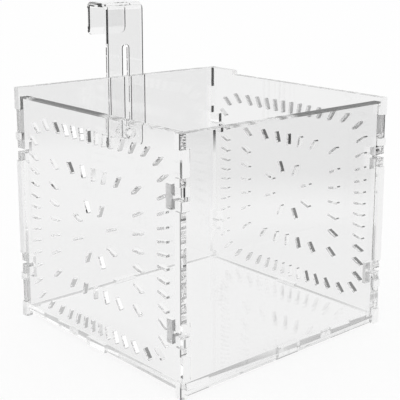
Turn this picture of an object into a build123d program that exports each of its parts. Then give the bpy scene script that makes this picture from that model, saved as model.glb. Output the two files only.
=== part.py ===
"""Hang-on fish breeding box: an open-top box of interlocking clear sheets on an adjustable hook.

Frame: millimetres, +Z up, +Y towards the hook, +X to the right when facing the hook.
The origin is the middle of the whole footprint, hook included, on the plane that the feet rest on.
"""
from build123d import *
from math import atan2, degrees, pi, tan
import os

# ---------------------------------------------------------------- driving dimensions
sheet = 3.0              # thickness of the four walls and the floor
box_width = 100.0        # outer face of the left wall to outer face of the right wall
box_depth = 100.0        # outer face of the front wall to outer face of the rear wall

# Walls
wall_height = 88.2       # lower edges' line to the top of the front and left walls
right_rise = 1.5         # top of the right wall above the front wall's
rear_rise = 3.3          # top of the rear wall above the front wall's
raised_length = 17.0     # stretch of the right wall beside the rear wall that is as high as the rear wall

# Lower edges and feet
left_lift = 1.8          # the left wall's lower edge stands this much above the others'
foot_drop = 0.8          # the corner feet reach this far below the lower edges
foot_length = 2.6

# Corner joints: a wall that covers its neighbour's end has notches, and the neighbour's tabs fill them
end_margin = 0.7         # how far the covering wall runs past its neighbour
joint_gap = 0.1
finger_height = 9.0
finger_from_end = 9.7    # middle of a finger, from the upper or lower end of the height all walls share
latch_height = 8.0
latch_from_end = 21.2    # middle of a split latch tongue, measured the same way
latch_slit = 1.5         # the slit that splits the tongue
relief_distance = 5.5    # covering wall's outer face to the relief slot behind the tongue
relief_width = 2.8
relief_height = 8.4

# Floor
floor_lift = 0.7         # underside of the floor above the walls' lower edges
floor_tab_length = 11.0

# Vent slots of the side walls, in three rings about the middle of the wall
vent_side_margin = 10.8  # outer face of the box to the middle of the outer ring's slots
vent_end_margin = 8.8    # end of the shared height to the middle of the outer ring's slots
ring_step = 13.4         # outer ring to middle ring
inner_half_length = 10.5
inner_half_height = 9.4
outer_count = 12         # slots on each side of a ring, without its corner slots
middle_count = 5
inner_count = 2
outer_corner_pull = 0.94  # a corner slot lies this share of the way out to its ring's corner
middle_corner_pull = 0.97
slot_length = 5.0
slot_width = 1.0

# Hanging hook
hook_sheet = 2.0
hook_width = 17.6
hook_offset = 2.4        # middle of the hook, to the right of the middle of the box
hook_rise = 30.3         # top of the hook above the rear wall
long_leg = 61.0          # whole height of the leg on the box
short_leg = 14.0         # whole height of the leg behind the tank's glass
throat = 11.0            # clear gap between the legs
bend_radius = 3.0        # outer radius of the two bends
leg_corner = 2.0         # rounding of the legs' lower corners
lead_in_height = 3.0     # bevel inside the short leg, which leads the glass in
lead_in_depth = 0.8
adjusting_width = 3.4    # the long slot that the hook slides along
adjusting_length = 39.9
adjusting_margin = 3.8   # lower end of the hook to the lower end of the slot
screw_from_slot_end = 3.1  # lower end of the slot to the middle of the screw
slide_gap = 0.1          # clearance beside each face that slides or turns

# Screw and nut
screw_radius = 1.4
screw_tip = 0.8          # the screw's end stands this far out of the nut
hole_clearance = 0.1
thread_clearance = 0.05
head_radius = 2.8
head_height = 1.8
head_edge = 0.5          # rounding of the head's rim
driver_slot_width = 0.8
driver_slot_depth = 0.9
nut_flats = 5.5
nut_height = 2.4
nut_edge = 0.3           # bevel round the nut's outer face

# ---------------------------------------------------------------- places that follow from them
hook_depth = slide_gap + hook_sheet + throat + hook_sheet

left_face = -box_width / 2
left_inner = left_face + sheet
right_face = box_width / 2
right_inner = right_face - sheet
front_face = -(box_depth + hook_depth - end_margin) / 2
front_inner = front_face + sheet
rear_face = front_face + box_depth
rear_inner = rear_face - sheet
middle_y = (front_face + rear_face) / 2

wall_base = foot_drop
shared_top = wall_base + wall_height
right_top = shared_top + right_rise
rear_top = shared_top + rear_rise
floor_bottom = wall_base + floor_lift
floor_top = floor_bottom + sheet

fingers = [(wall_base + finger_from_end, finger_height), (shared_top - finger_from_end, finger_height)]
latches = [(wall_base + latch_from_end, latch_height), (shared_top - latch_from_end, latch_height)]

hook_top = rear_top + hook_rise
hook_bottom = hook_top - long_leg
tip_bottom = hook_top - short_leg
hook_front = rear_face + slide_gap
hook_back = rear_face + hook_depth
adjusting_bottom = hook_bottom + adjusting_margin
screw_z = adjusting_bottom + screw_from_slot_end
nut_front = hook_front + hook_sheet + slide_gap
nut_back = nut_front + nut_height


# ---------------------------------------------------------------- drawing helpers
def bar(left, right, bottom, top, mode=Mode.ADD):
    """A rectangle in the open sketch, by its edges."""
    with Locations(((left + right) / 2, (bottom + top) / 2)):
        Rectangle(abs(right - left), top - bottom, mode=mode)


def add_tabs(end, outer):
    """Fingers and latch tongues, from a wall's end to the outer face of the wall that covers it."""
    for middle, height in fingers + latches:
        bar(end, outer, middle - height / 2, middle + height / 2)


def split_latches(outer, inward):
    """The slit in each latch tongue and the relief slot behind it, which let the tongue flex."""
    near = outer + inward * relief_distance
    far = near + inward * relief_width
    for middle, _ in latches:
        bar(outer, near, middle - latch_slit / 2, middle + latch_slit / 2, Mode.SUBTRACT)
        bar(near, far, middle - relief_height / 2, middle + relief_height / 2, Mode.SUBTRACT)


def cut_notches(end, inner):
    """Notches from a covering wall's end to the neighbour's inner face, clear of the tabs."""
    for middle, height in fingers + latches:
        reach = height / 2 + joint_gap
        bar(end, inner, middle - reach, middle + reach, Mode.SUBTRACT)


def cut_floor_slot(middle):
    """The slot that one tab of the floor passes through."""
    reach = floor_tab_length / 2 + joint_gap
    bar(middle - reach, middle + reach, floor_bottom - joint_gap, floor_top + joint_gap, Mode.SUBTRACT)


def ring_places(half_length, half_height, count, corner_pull=None):
    """Middles of one ring's slots, at even angles about the ring's own middle."""
    first = 0.5 if corner_pull is None else 1.0
    steps = count + 2 * first - 1
    corner = atan2(half_length, half_height)
    places = []
    for k in range(count):
        share = 2 * (first + k) / steps - 1
        across = half_height * tan(corner * share)
        along = half_length * tan((pi / 2 - corner) * share)
        places += [(across, half_height), (across, -half_height), (half_length, along), (-half_length, along)]
    if corner_pull is not None:
        y = corner_pull * half_length
        z = corner_pull * half_height
        places += [(y, z), (y, -z), (-y, z), (-y, -z)]
    return places


def cut_vents():
    """The three rings of slots, each slot pointing at the middle of the wall."""
    half_length = box_depth / 2 - vent_side_margin
    half_height = (shared_top - wall_base) / 2 - vent_end_margin
    places = ring_places(half_length, half_height, outer_count, outer_corner_pull)
    places += ring_places(half_length - ring_step, half_height - ring_step, middle_count, middle_corner_pull)
    places += ring_places(inner_half_length, inner_half_height, inner_count)
    middle_z = (wall_base + shared_top) / 2
    spots = [Location((middle_y + y, middle_z + z, 0), (0, 0, degrees(atan2(z, y)))) for y, z in places]
    with Locations(*spots):
        SlotOverall(slot_length, slot_width, mode=Mode.SUBTRACT)


# ---------------------------------------------------------------- walls
# The front wall covers the left wall's end, and the right wall covers the front wall's.
with BuildPart() as front_wall:
    with BuildSketch(Plane.XZ.offset(-front_face)):
        end = left_face - end_margin
        bar(end, right_inner - joint_gap, wall_base, shared_top)
        bar(end, end + foot_length, 0, wall_base)
        add_tabs(right_inner - joint_gap, right_face)
        split_latches(right_face, -1)
        cut_notches(end, left_inner + joint_gap)
        cut_floor_slot(0)
    extrude(amount=-sheet)
front_wall.part.label = "front_wall"

# The left wall stands between the front wall and the rear wall.
with BuildPart() as left_vent_wall:
    with BuildSketch(Plane.YZ.offset(left_face)):
        bar(front_inner + joint_gap, rear_inner - joint_gap, wall_base + left_lift, shared_top)
        add_tabs(front_inner + joint_gap, front_face)
        add_tabs(rear_inner - joint_gap, rear_face)
        split_latches(front_face, 1)
        split_latches(rear_face, -1)
        cut_floor_slot(middle_y)
        cut_vents()
    extrude(amount=sheet)
left_vent_wall.part.label = "left_vent_wall"

# The right wall is covered by the rear wall only, and is raised beside it.
with BuildPart() as right_vent_wall:
    with BuildSketch(Plane.YZ.offset(right_inner)):
        end = front_face - end_margin
        bar(end, rear_inner - joint_gap, wall_base, right_top)
        bar(end, end + foot_length, 0, wall_base)
        bar(rear_face - raised_length, rear_inner - joint_gap, right_top, rear_top)
        add_tabs(rear_inner - joint_gap, rear_face)
        split_latches(rear_face, -1)
        cut_notches(end, front_inner + joint_gap)
        cut_floor_slot(middle_y)
        cut_vents()
    extrude(amount=sheet)
right_vent_wall.part.label = "right_vent_wall"

# The rear wall covers both side walls and carries the hook.
with BuildPart() as rear_wall:
    with BuildSketch(Plane.XZ.offset(-rear_inner)):
        reach = right_face + end_margin
        bar(-reach, reach, wall_base, rear_top)
        bar(-reach, -reach + foot_length, 0, wall_base)
        bar(reach - foot_length, reach, 0, wall_base)
        cut_notches(-reach, left_inner + joint_gap)
        cut_notches(reach, right_inner - joint_gap)
        cut_floor_slot(0)
        with Locations((hook_offset, screw_z)):
            Circle(screw_radius + hole_clearance, mode=Mode.SUBTRACT)
    extrude(amount=-sheet)
rear_wall.part.label = "rear_wall"

# ---------------------------------------------------------------- floor
with BuildPart() as floor_plate:
    with BuildSketch(Plane.XY.offset(floor_bottom)):
        half_tab = floor_tab_length / 2
        bar(left_inner + joint_gap, right_inner - joint_gap, front_inner + joint_gap, rear_inner - joint_gap)
        bar(left_face, right_face, middle_y - half_tab, middle_y + half_tab)
        bar(-half_tab, half_tab, front_face, rear_face)
    extrude(amount=sheet)
floor_plate.part.label = "floor_plate"

# ---------------------------------------------------------------- hook
# The strip's outer line goes up the rear wall, over the glass and down behind it.
with BuildPart() as hanging_hook:
    with BuildSketch(Plane.YZ.offset(hook_offset - hook_width / 2)):
        with BuildLine():
            FilletPolyline(
                (hook_front, hook_bottom),
                (hook_front, hook_top),
                (hook_back, hook_top),
                (hook_back, tip_bottom),
                radius=bend_radius,
            )
            offset(amount=hook_sheet, side=Side.RIGHT)
        make_face()
        with BuildLine():
            Polyline(
                (hook_back - hook_sheet, tip_bottom + lead_in_height),
                (hook_back - hook_sheet, tip_bottom),
                (hook_back - hook_sheet + lead_in_depth, tip_bottom),
                close=True,
            )
        make_face(mode=Mode.SUBTRACT)
    extrude(amount=hook_width)
    lower = [e for e in edges().filter_by(Axis.Y) if e.center().Z < hook_top - hook_sheet - bend_radius]
    fillet(lower, leg_corner)
    with BuildSketch(Plane.XZ.offset(-hook_front)):
        with Locations((hook_offset, adjusting_bottom + adjusting_length / 2)):
            SlotOverall(adjusting_length, adjusting_width, rotation=90)
    extrude(amount=-hook_sheet, mode=Mode.SUBTRACT)
hanging_hook.part.label = "hanging_hook"

# ---------------------------------------------------------------- screw and nut
with BuildPart() as hook_screw:
    with BuildSketch(Plane.XZ.offset(-(rear_inner - slide_gap))):
        with Locations((hook_offset, screw_z)):
            Circle(head_radius)
    extrude(amount=head_height)
    rim = edges().filter_by(GeomType.CIRCLE).sort_by(Axis.Y)[0]
    fillet(rim, head_edge)
    with BuildSketch(Plane.XZ.offset(-(rear_inner - slide_gap - head_height))):
        with Locations((hook_offset, screw_z)):
            Rectangle(2 * head_radius, driver_slot_width)
    extrude(amount=-driver_slot_depth, mode=Mode.SUBTRACT)
    with BuildSketch(Plane.XZ.offset(-(rear_inner - slide_gap))):
        with Locations((hook_offset, screw_z)):
            Circle(screw_radius)
    extrude(amount=-(nut_back + screw_tip - rear_inner + slide_gap))
hook_screw.part.label = "hook_screw"

with BuildPart() as hook_nut:
    with BuildSketch(Plane.XZ.offset(-nut_front)):
        with Locations((hook_offset, screw_z)):
            RegularPolygon(nut_flats / 2, 6, major_radius=False)
            Circle(screw_radius + thread_clearance, mode=Mode.SUBTRACT)
    extrude(amount=-nut_height)
    chamfer(faces().sort_by(Axis.Y)[-1].outer_wire().edges(), nut_edge)
hook_nut.part.label = "hook_nut"

# ---------------------------------------------------------------- files
os.makedirs("parts", exist_ok=True)
for piece in (
    front_wall,
    left_vent_wall,
    right_vent_wall,
    rear_wall,
    floor_plate,
    hanging_hook,
    hook_screw,
    hook_nut,
):
    export_step(piece.part, f"parts/{piece.part.label}.step")
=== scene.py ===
"""Looks for the fish breeding box: clear cut sheets with frosted cut edges and with painted shade, near black, on some
cut edges, in a bright-field studio.
"""

from math import degrees, pi, radians

import bpy
from mathutils import Matrix, Vector


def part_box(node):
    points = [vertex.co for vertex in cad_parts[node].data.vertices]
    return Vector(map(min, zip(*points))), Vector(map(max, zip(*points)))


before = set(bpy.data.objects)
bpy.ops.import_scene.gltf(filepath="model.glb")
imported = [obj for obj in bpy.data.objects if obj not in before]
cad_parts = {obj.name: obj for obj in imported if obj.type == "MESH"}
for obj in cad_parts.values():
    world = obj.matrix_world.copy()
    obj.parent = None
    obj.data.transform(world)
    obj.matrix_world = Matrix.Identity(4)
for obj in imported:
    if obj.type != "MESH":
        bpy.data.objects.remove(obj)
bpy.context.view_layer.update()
mm = 0.001
white = (1.0, 1.0, 1.0, 1.0)


# ---------------------------------------------------------------- node helpers
class Graph:
    """A node tree, with short ways to add nodes and to write sums of them."""

    def __init__(self, owner):
        owner.use_nodes = True
        self.nodes = owner.node_tree.nodes
        self.links = owner.node_tree.links
        self.nodes.clear()

    def add(self, kind, inputs=None, **properties):
        """A node of that kind. An input is a number, a colour or another node's output."""
        node = self.nodes.new("ShaderNode" + kind)
        for name, value in properties.items():
            setattr(node, name, value)
        for name, value in (inputs or {}).items():
            if isinstance(value, bpy.types.NodeSocket):
                self.links.new(value, node.inputs[name])
            else:
                node.inputs[name].default_value = value
        return node

    def math(self, operation, *values, clamp=False):
        return self.add("Math", dict(enumerate(values)), operation=operation, use_clamp=clamp).outputs[0]

    def above(self, value, limit):
        return self.math("GREATER_THAN", value, limit)

    def below(self, value, limit):
        return self.math("LESS_THAN", value, limit)

    def ramp(self, value, low, high):
        """0 below low, 1 above high."""
        return self.math("DIVIDE", self.math("SUBTRACT", value, low), high - low, clamp=True)

    def window(self, value, low, high, soft):
        """1 between low and high, 0 outside, with soft edges."""
        leave = self.math("SUBTRACT", 1.0, self.ramp(value, high - soft, high + soft))
        return self.math("MULTIPLY", self.ramp(value, low - soft, low + soft), leave)

    def near(self, value, target, reach):
        """1 within reach of the target, 0 outside."""
        return self.window(value, target - reach, target + reach, 0.1 * mm)

    def product(self, *values):
        result = values[0]
        for value in values[1:]:
            result = self.math("MULTIPLY", result, value)
        return result

    def either(self, *values):
        result = values[0]
        for value in values[1:]:
            result = self.math("MAXIMUM", result, value)
        return result

    def blend(self, share, low, high):
        """low where share is 0, high where it is 1."""
        return self.math("ADD", low, self.math("MULTIPLY", share, self.math("SUBTRACT", high, low)))

    def streaks(self, along, spans):
        """The strongest of some stretches (start, end, softness, strength) along one axis, in millimetres."""
        return self.either(*(
            self.product(self.window(along, start * mm, end * mm, soft * mm), strength)
            for start, end, soft, strength in spans))

    def axes(self, vector):
        split = self.add("SeparateXYZ", {0: vector})
        return split.outputs["X"], split.outputs["Y"], split.outputs["Z"]


# ---------------------------------------------------------------- materials
refraction = 1.49
frost_colour, frost_roughness, frost_grain = (0.95, 1.0), 0.6, 900.0
# Painted shade: near black paint on cut edges stands in for the dark that the sheets refract and guide there.
painted_shade_colour, painted_shade_roughness = 0.012, 0.5


def clear_plastic(name, tint, roughness, grain, dark=None, frosted=None):
    """Clear plastic with a faint haze. dark picks faces painted near black as painted shade, frosted picks frosted
    faces; light doesn't pass through either.

    Both are called with the point and with the size of the normal's share along each axis.
    """
    material = bpy.data.materials.new(name)
    graph = Graph(material)
    where = graph.add("TexCoord")
    haze = graph.add("TexNoise", {"Vector": where.outputs["Object"], "Scale": grain, "Detail": 3.0}).outputs["Fac"]
    colour = graph.blend(haze, *tint)
    rough = graph.blend(haze, *roughness)
    clear = 1.0
    place = graph.axes(where.outputs["Object"])
    facing = [graph.math("ABSOLUTE", axis) for axis in graph.axes(where.outputs["Normal"])]
    if frosted:
        share = frosted(graph, place, facing)
        scratches = graph.add("TexNoise", {"Vector": where.outputs["Object"], "Scale": frost_grain}).outputs["Fac"]
        colour = graph.blend(share, colour, graph.blend(scratches, *frost_colour))
        rough = graph.blend(share, rough, frost_roughness)
        clear = graph.math("SUBTRACT", clear, share)
    # Painted shade: the picked faces become near black and opaque.
    if dark:
        share = dark(graph, place, facing)
        colour = graph.blend(share, colour, painted_shade_colour)
        rough = graph.blend(share, rough, painted_shade_roughness)
        clear = graph.math("MULTIPLY", clear, graph.math("SUBTRACT", 1.0, share))
    skin = graph.add("BsdfPrincipled", {
        "Base Color": graph.add("CombineColor", {0: colour, 1: colour, 2: colour}).outputs[0],
        "Roughness": rough, "Transmission Weight": clear, "IOR": refraction})
    graph.add("OutputMaterial", {"Surface": skin.outputs["BSDF"]})
    return material


# Where the faces are that the masks below pick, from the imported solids.
front_low, front_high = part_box("front_wall")
left_low, left_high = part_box("left_vent_wall")
hook_low, hook_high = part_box("hanging_hook")
wall_top = front_high[2]
front_face = front_low[1]
past_left = left_low[0] - 0.1 * mm          # only the covering walls reach further left
margin = 0.3 * mm                           # a mask reaches this far beyond the face that it picks
room_middle_y = (left_low[1] + left_high[1]) / 2
room_half = 41.8 * mm
front_wall_right_end = 46.9 * mm            # beside the tabs
front_wall_relief = 44.5 * mm               # side of the slots that set the latches free
left_wall_reliefs = (-51.7, -48.9)          # the same slots' two sides, in millimetres
upper_row = (76.5 * mm, 83.5 * mm)          # heights between which the vent slots' upper row lies
edge_strip = 0.7 * mm                       # the strip below an upper edge
hook_slot_x = (hook_low[0] + hook_high[0]) / 2
hook_sheet = 2.0 * mm
hook_bend = 1.6 * mm                        # from the hook's top down to the straight legs' rims


def square_to(graph, facing, axis):
    """1 on faces at right angles to the axis."""
    return graph.above(facing[axis], 0.5)


def upper_edge(graph, place, facing, outward, outer_face):
    """The top face and, less strongly, a narrow strip of the outer face below it."""
    top = graph.product(square_to(graph, facing, 2), graph.above(place[2], wall_top - margin))
    strip = graph.product(square_to(graph, facing, outward), graph.below(place[outward], outer_face + margin),
                          graph.above(place[2], wall_top - edge_strip), 0.85)
    return graph.either(top, strip)


def front_painted_shade(graph, place, facing):
    """Painted shade on the upper edge's right half, on patches of its left half, and in lines down both ends and the
    upper tab's end.
    """
    x, y, z = place
    patches = graph.streaks(x, [(0.0, 50.0, 2.0, 0.9), (-7.0, -3.5, 1.0, 0.75), (-21.5, -18.5, 1.0, 0.55),
                                (-29.0, -25.5, 1.0, 0.55)])
    upper = graph.product(upper_edge(graph, place, facing, 1, front_face), patches)
    left_end = graph.product(square_to(graph, facing, 0), graph.below(x, past_left))
    wide = graph.product(
        graph.window(y, front_face - 1 * mm, front_face + 0.7 * mm, 0.15 * mm),
        graph.streaks(z, [(83.0, 90.0, 0.5, 0.9), (-1.0, 4.5, 0.5, 0.9), (14.0, 18.0, 0.5, 0.8)]))
    thin = graph.window(y, front_face - 1 * mm, front_face + 0.45 * mm, 0.15 * mm)
    tab = graph.product(graph.above(x, 49 * mm), graph.above(z, 74 * mm), graph.below(y, front_face + 0.9 * mm), 0.8)
    right = graph.product(graph.near(x, front_wall_right_end, 0.4 * mm),
                          graph.near(y, front_face + 2.3 * mm, 0.3 * mm), 0.7)
    right_ends = graph.product(square_to(graph, facing, 0), graph.either(tab, right))
    return graph.either(upper, right_ends, graph.product(left_end, graph.either(wide, graph.product(thin, 0.7))))


def left_painted_shade(graph, place, facing):
    """Painted shade on the upper edge's rear half, on spots of its front half, and in lines on the tabs at the front
    end.
    """
    x, y, z = place
    patches = graph.streaks(y, [(-15.0, 33.5, 3.0, 0.9), (35.0, 39.0, 0.6, 0.9), (-24.0, -19.0, 1.5, 0.6),
                                (-33.0, -30.0, 1.2, 0.5), (-43.0, -41.0, 0.8, 0.4)])
    upper = graph.product(upper_edge(graph, place, facing, 0, past_left), patches)
    tabs = graph.product(square_to(graph, facing, 1), graph.below(y, front_face + margin),
                         graph.window(x, past_left + 0.5 * mm, past_left + 1.3 * mm, 0.15 * mm),
                         graph.streaks(z, [(68.5, 72.5, 0.3, 1.0), (17.0, 21.0, 0.3, 0.6)]))
    return graph.either(upper, tabs)


def left_wall_cuts(graph, place, facing):
    """The ends of the left wall's tabs, and the sides of the slots that set its latches free."""
    front_side, rear_side = left_wall_reliefs
    slots = graph.streaks(place[1], [(front_side - 0.3, front_side + 0.3, 0.1, 1.0),
                                     (rear_side - 0.3, rear_side + 0.3, 0.1, 0.7)])
    return graph.product(square_to(graph, facing, 1), graph.either(graph.below(place[1], front_face + margin), slots))


def right_wall_cuts(graph, place, facing):
    """The right wall's front end, and the vent slots of its upper row."""
    end = graph.below(place[1], front_face - margin)
    row = graph.product(graph.window(place[2], *upper_row, 0.1 * mm), graph.below(place[1], room_middle_y + room_half))
    return graph.product(graph.below(facing[0], 0.5), graph.either(end, row))


def front_wall_cuts(graph, place, facing):
    """The front wall's left end, and the sides of the slots that set its latches free."""
    slots = graph.near(place[0], front_wall_relief, 0.3 * mm)
    return graph.product(square_to(graph, facing, 0), graph.either(slots, graph.below(place[0], past_left)))


def rear_wall_left_end(graph, place, facing):
    return graph.product(graph.below(facing[1], 0.5), graph.below(place[0], -room_half), 0.6)


def hook_painted_shade(graph, place, facing):
    """Painted shade on the rims of the hook's sides and of the long slot's walls, along each leg's front face."""
    x, y, z = place
    from_slot = graph.math("SUBTRACT", x, hook_slot_x)
    # The faces that look to the right, the hook's right side and the slot's left wall, have the deeper painted rims.
    to_right = graph.either(graph.above(from_slot, 5 * mm), graph.window(from_slot, -5 * mm, 0.0, 0.1 * mm))
    depth = graph.blend(to_right, 0.6 * mm, 1.1 * mm)
    leg = graph.math("SUBTRACT", y, hook_low[1])
    tip = graph.math("SUBTRACT", y, hook_high[1] - hook_sheet)
    rims = graph.either(graph.below(leg, depth), graph.product(graph.above(tip, -0.1 * mm), graph.below(tip, depth)))
    return graph.product(square_to(graph, facing, 0), rims, graph.below(z, hook_high[2] - hook_bend))


polish = (0.985, 0.995), (0.0, 0.0), 30.0   # range of tint, range of roughness, scale of the haze
moulded = (0.95, 0.98), (0.02, 0.08), 400.0
looks = {
    "front_wall": clear_plastic("clear_sheet_front", *polish, dark=front_painted_shade, frosted=front_wall_cuts),
    "left_vent_wall": clear_plastic("clear_sheet_left", *polish, dark=left_painted_shade, frosted=left_wall_cuts),
    "right_vent_wall": clear_plastic("clear_sheet_right", *polish, frosted=right_wall_cuts),
    "rear_wall": clear_plastic("clear_sheet_rear", *polish, frosted=rear_wall_left_end),
    "hanging_hook": clear_plastic("clear_sheet_hook", *polish, dark=hook_painted_shade),
    "floor_plate": clear_plastic("clear_sheet", *polish),
}
looks["hook_screw"] = looks["hook_nut"] = clear_plastic("clear_moulded", *moulded)
for node, material in looks.items():
    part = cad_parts[node]
    part.data.materials.clear()
    part.data.materials.append(material)

# ---------------------------------------------------------------- surroundings
# The camera sees plain white. What the clear sheets show of the surroundings is a little darker. Light that
# has been reflected on its way, as in every cut edge, also shows the dark and bright screens of the studio.
straight_world, straight_floor, base = 0.93, 0.89, 0.93
# A screen's left and right ends by compass, its lower and upper ends above the horizon, in degrees, and its level.
screens = [(72, 138, -14, 47, 0.10), (139, 170, -40, -6, 0.12), (139, 165, 0, 55, 1.15)]
dark_floor_from, dark_floor_to, dark_floor_distance = 95, 172, 0.25
under_box, beside_box, painted_shadow_level = 0.05, 0.075, 0.5
floor_half, floor_drop, floor_paint = 3.0, 0.3 * mm, 0.12


def compass(graph, x, y):
    """Degrees from +Y towards +X."""
    return graph.math("MULTIPLY", graph.math("ARCTAN2", x, y), degrees(1))


def by_path(graph, emitter, straight, bounced, plain):
    """plain to the camera, straight for light that was only refracted, bounced if it was reflected on its way."""
    path = graph.add("LightPath")
    strength = graph.blend(graph.above(path.outputs["Glossy Depth"], 0.5), straight, bounced)
    through = graph.add(emitter, {"Color": white, "Strength": strength})
    return graph.add("MixShader", {0: path.outputs["Is Camera Ray"], 1: through.outputs[0], 2: plain.outputs[0]})


floor_mesh = bpy.data.meshes.new("floor")
floor_mesh.from_pydata([(-floor_half, -floor_half, 0), (floor_half, -floor_half, 0), (floor_half, floor_half, 0),
                        (-floor_half, floor_half, 0)], [], [(0, 1, 2, 3)])
floor = bpy.data.objects.new("floor", floor_mesh)
floor.location.z = -floor_drop
bpy.context.scene.collection.objects.link(floor)
material = bpy.data.materials.new("floor_white")
floor_mesh.materials.append(material)
graph = Graph(material)
x, y, z = graph.axes(graph.add("TexCoord").outputs["Object"])
far = graph.math("SQRT", graph.math("ADD", graph.math("MULTIPLY", x, x), graph.math("MULTIPLY", y, y)))
shaded = graph.product(graph.window(compass(graph, x, y), dark_floor_from, dark_floor_to, 3.0),
                       graph.ramp(far, dark_floor_distance, dark_floor_distance * 1.3))
value = graph.blend(shaded, base, 0.0)
# Painted shadow: the glow that reflected light sees on the floor is halved under the box and fades out beside it.
value = graph.math("MULTIPLY", value, graph.blend(graph.ramp(far, under_box, beside_box), painted_shadow_level, 1.0))
glow = graph.add("Emission", {"Color": white, "Strength": 1.0})
paint = graph.add("BsdfDiffuse", {"Color": white})
plain = graph.add("MixShader", {0: floor_paint, 1: glow.outputs[0], 2: paint.outputs[0]})
mixed = by_path(graph, "Emission", straight_floor, value, plain)
graph.add("OutputMaterial", {"Surface": mixed.outputs[0]})

world = bpy.data.worlds.new("studio")
bpy.context.scene.world = world
graph = Graph(world)
x, y, z = graph.axes(graph.add("TexCoord").outputs["Generated"])
turn = compass(graph, x, y)
rise = graph.math("MULTIPLY", graph.math("ARCSINE", z), degrees(1))
value = base
for left, right, low, high, level in screens:
    share = graph.product(graph.window(turn, left, right, 2.0), graph.window(rise, low, high, 3.0))
    value = graph.blend(share, value, level)
plain = graph.add("Background", {"Color": white, "Strength": 1.0})
mixed = by_path(graph, "Background", straight_world, value, plain)
graph.add("OutputWorld", {"Surface": mixed.outputs[0]})

# Light is reflected many times inside a sheet on its way to a cut edge.
cycles = bpy.context.scene.cycles
cycles.max_bounces = cycles.glossy_bounces = cycles.transmission_bounces = cycles.diffuse_bounces = 40

# ---------------------------------------------------------------- camera
camera_data = bpy.data.cameras.new("camera")
camera_data.sensor_width = 36.0
camera_data.lens = 85.52
camera_data.shift_x = -0.11
camera_data.shift_y = -0.135
camera_data.clip_start = 0.01
camera_data.clip_end = 20
camera = bpy.data.objects.new("camera", camera_data)
eye = Vector((-0.23334, -0.27972, 0.14667))
heading, dip, roll = radians(43.294), radians(12.007), radians(0.568)
turned = Matrix.Rotation(-heading, 4, "Z") @ Matrix.Rotation(pi / 2 - dip, 4, "X") @ Matrix.Rotation(roll, 4, "Z")
camera.matrix_world = Matrix.Translation(eye) @ turned
bpy.context.scene.collection.objects.link(camera)
bpy.context.scene.camera = camera
bpy.context.scene.view_settings.view_transform = "Standard"
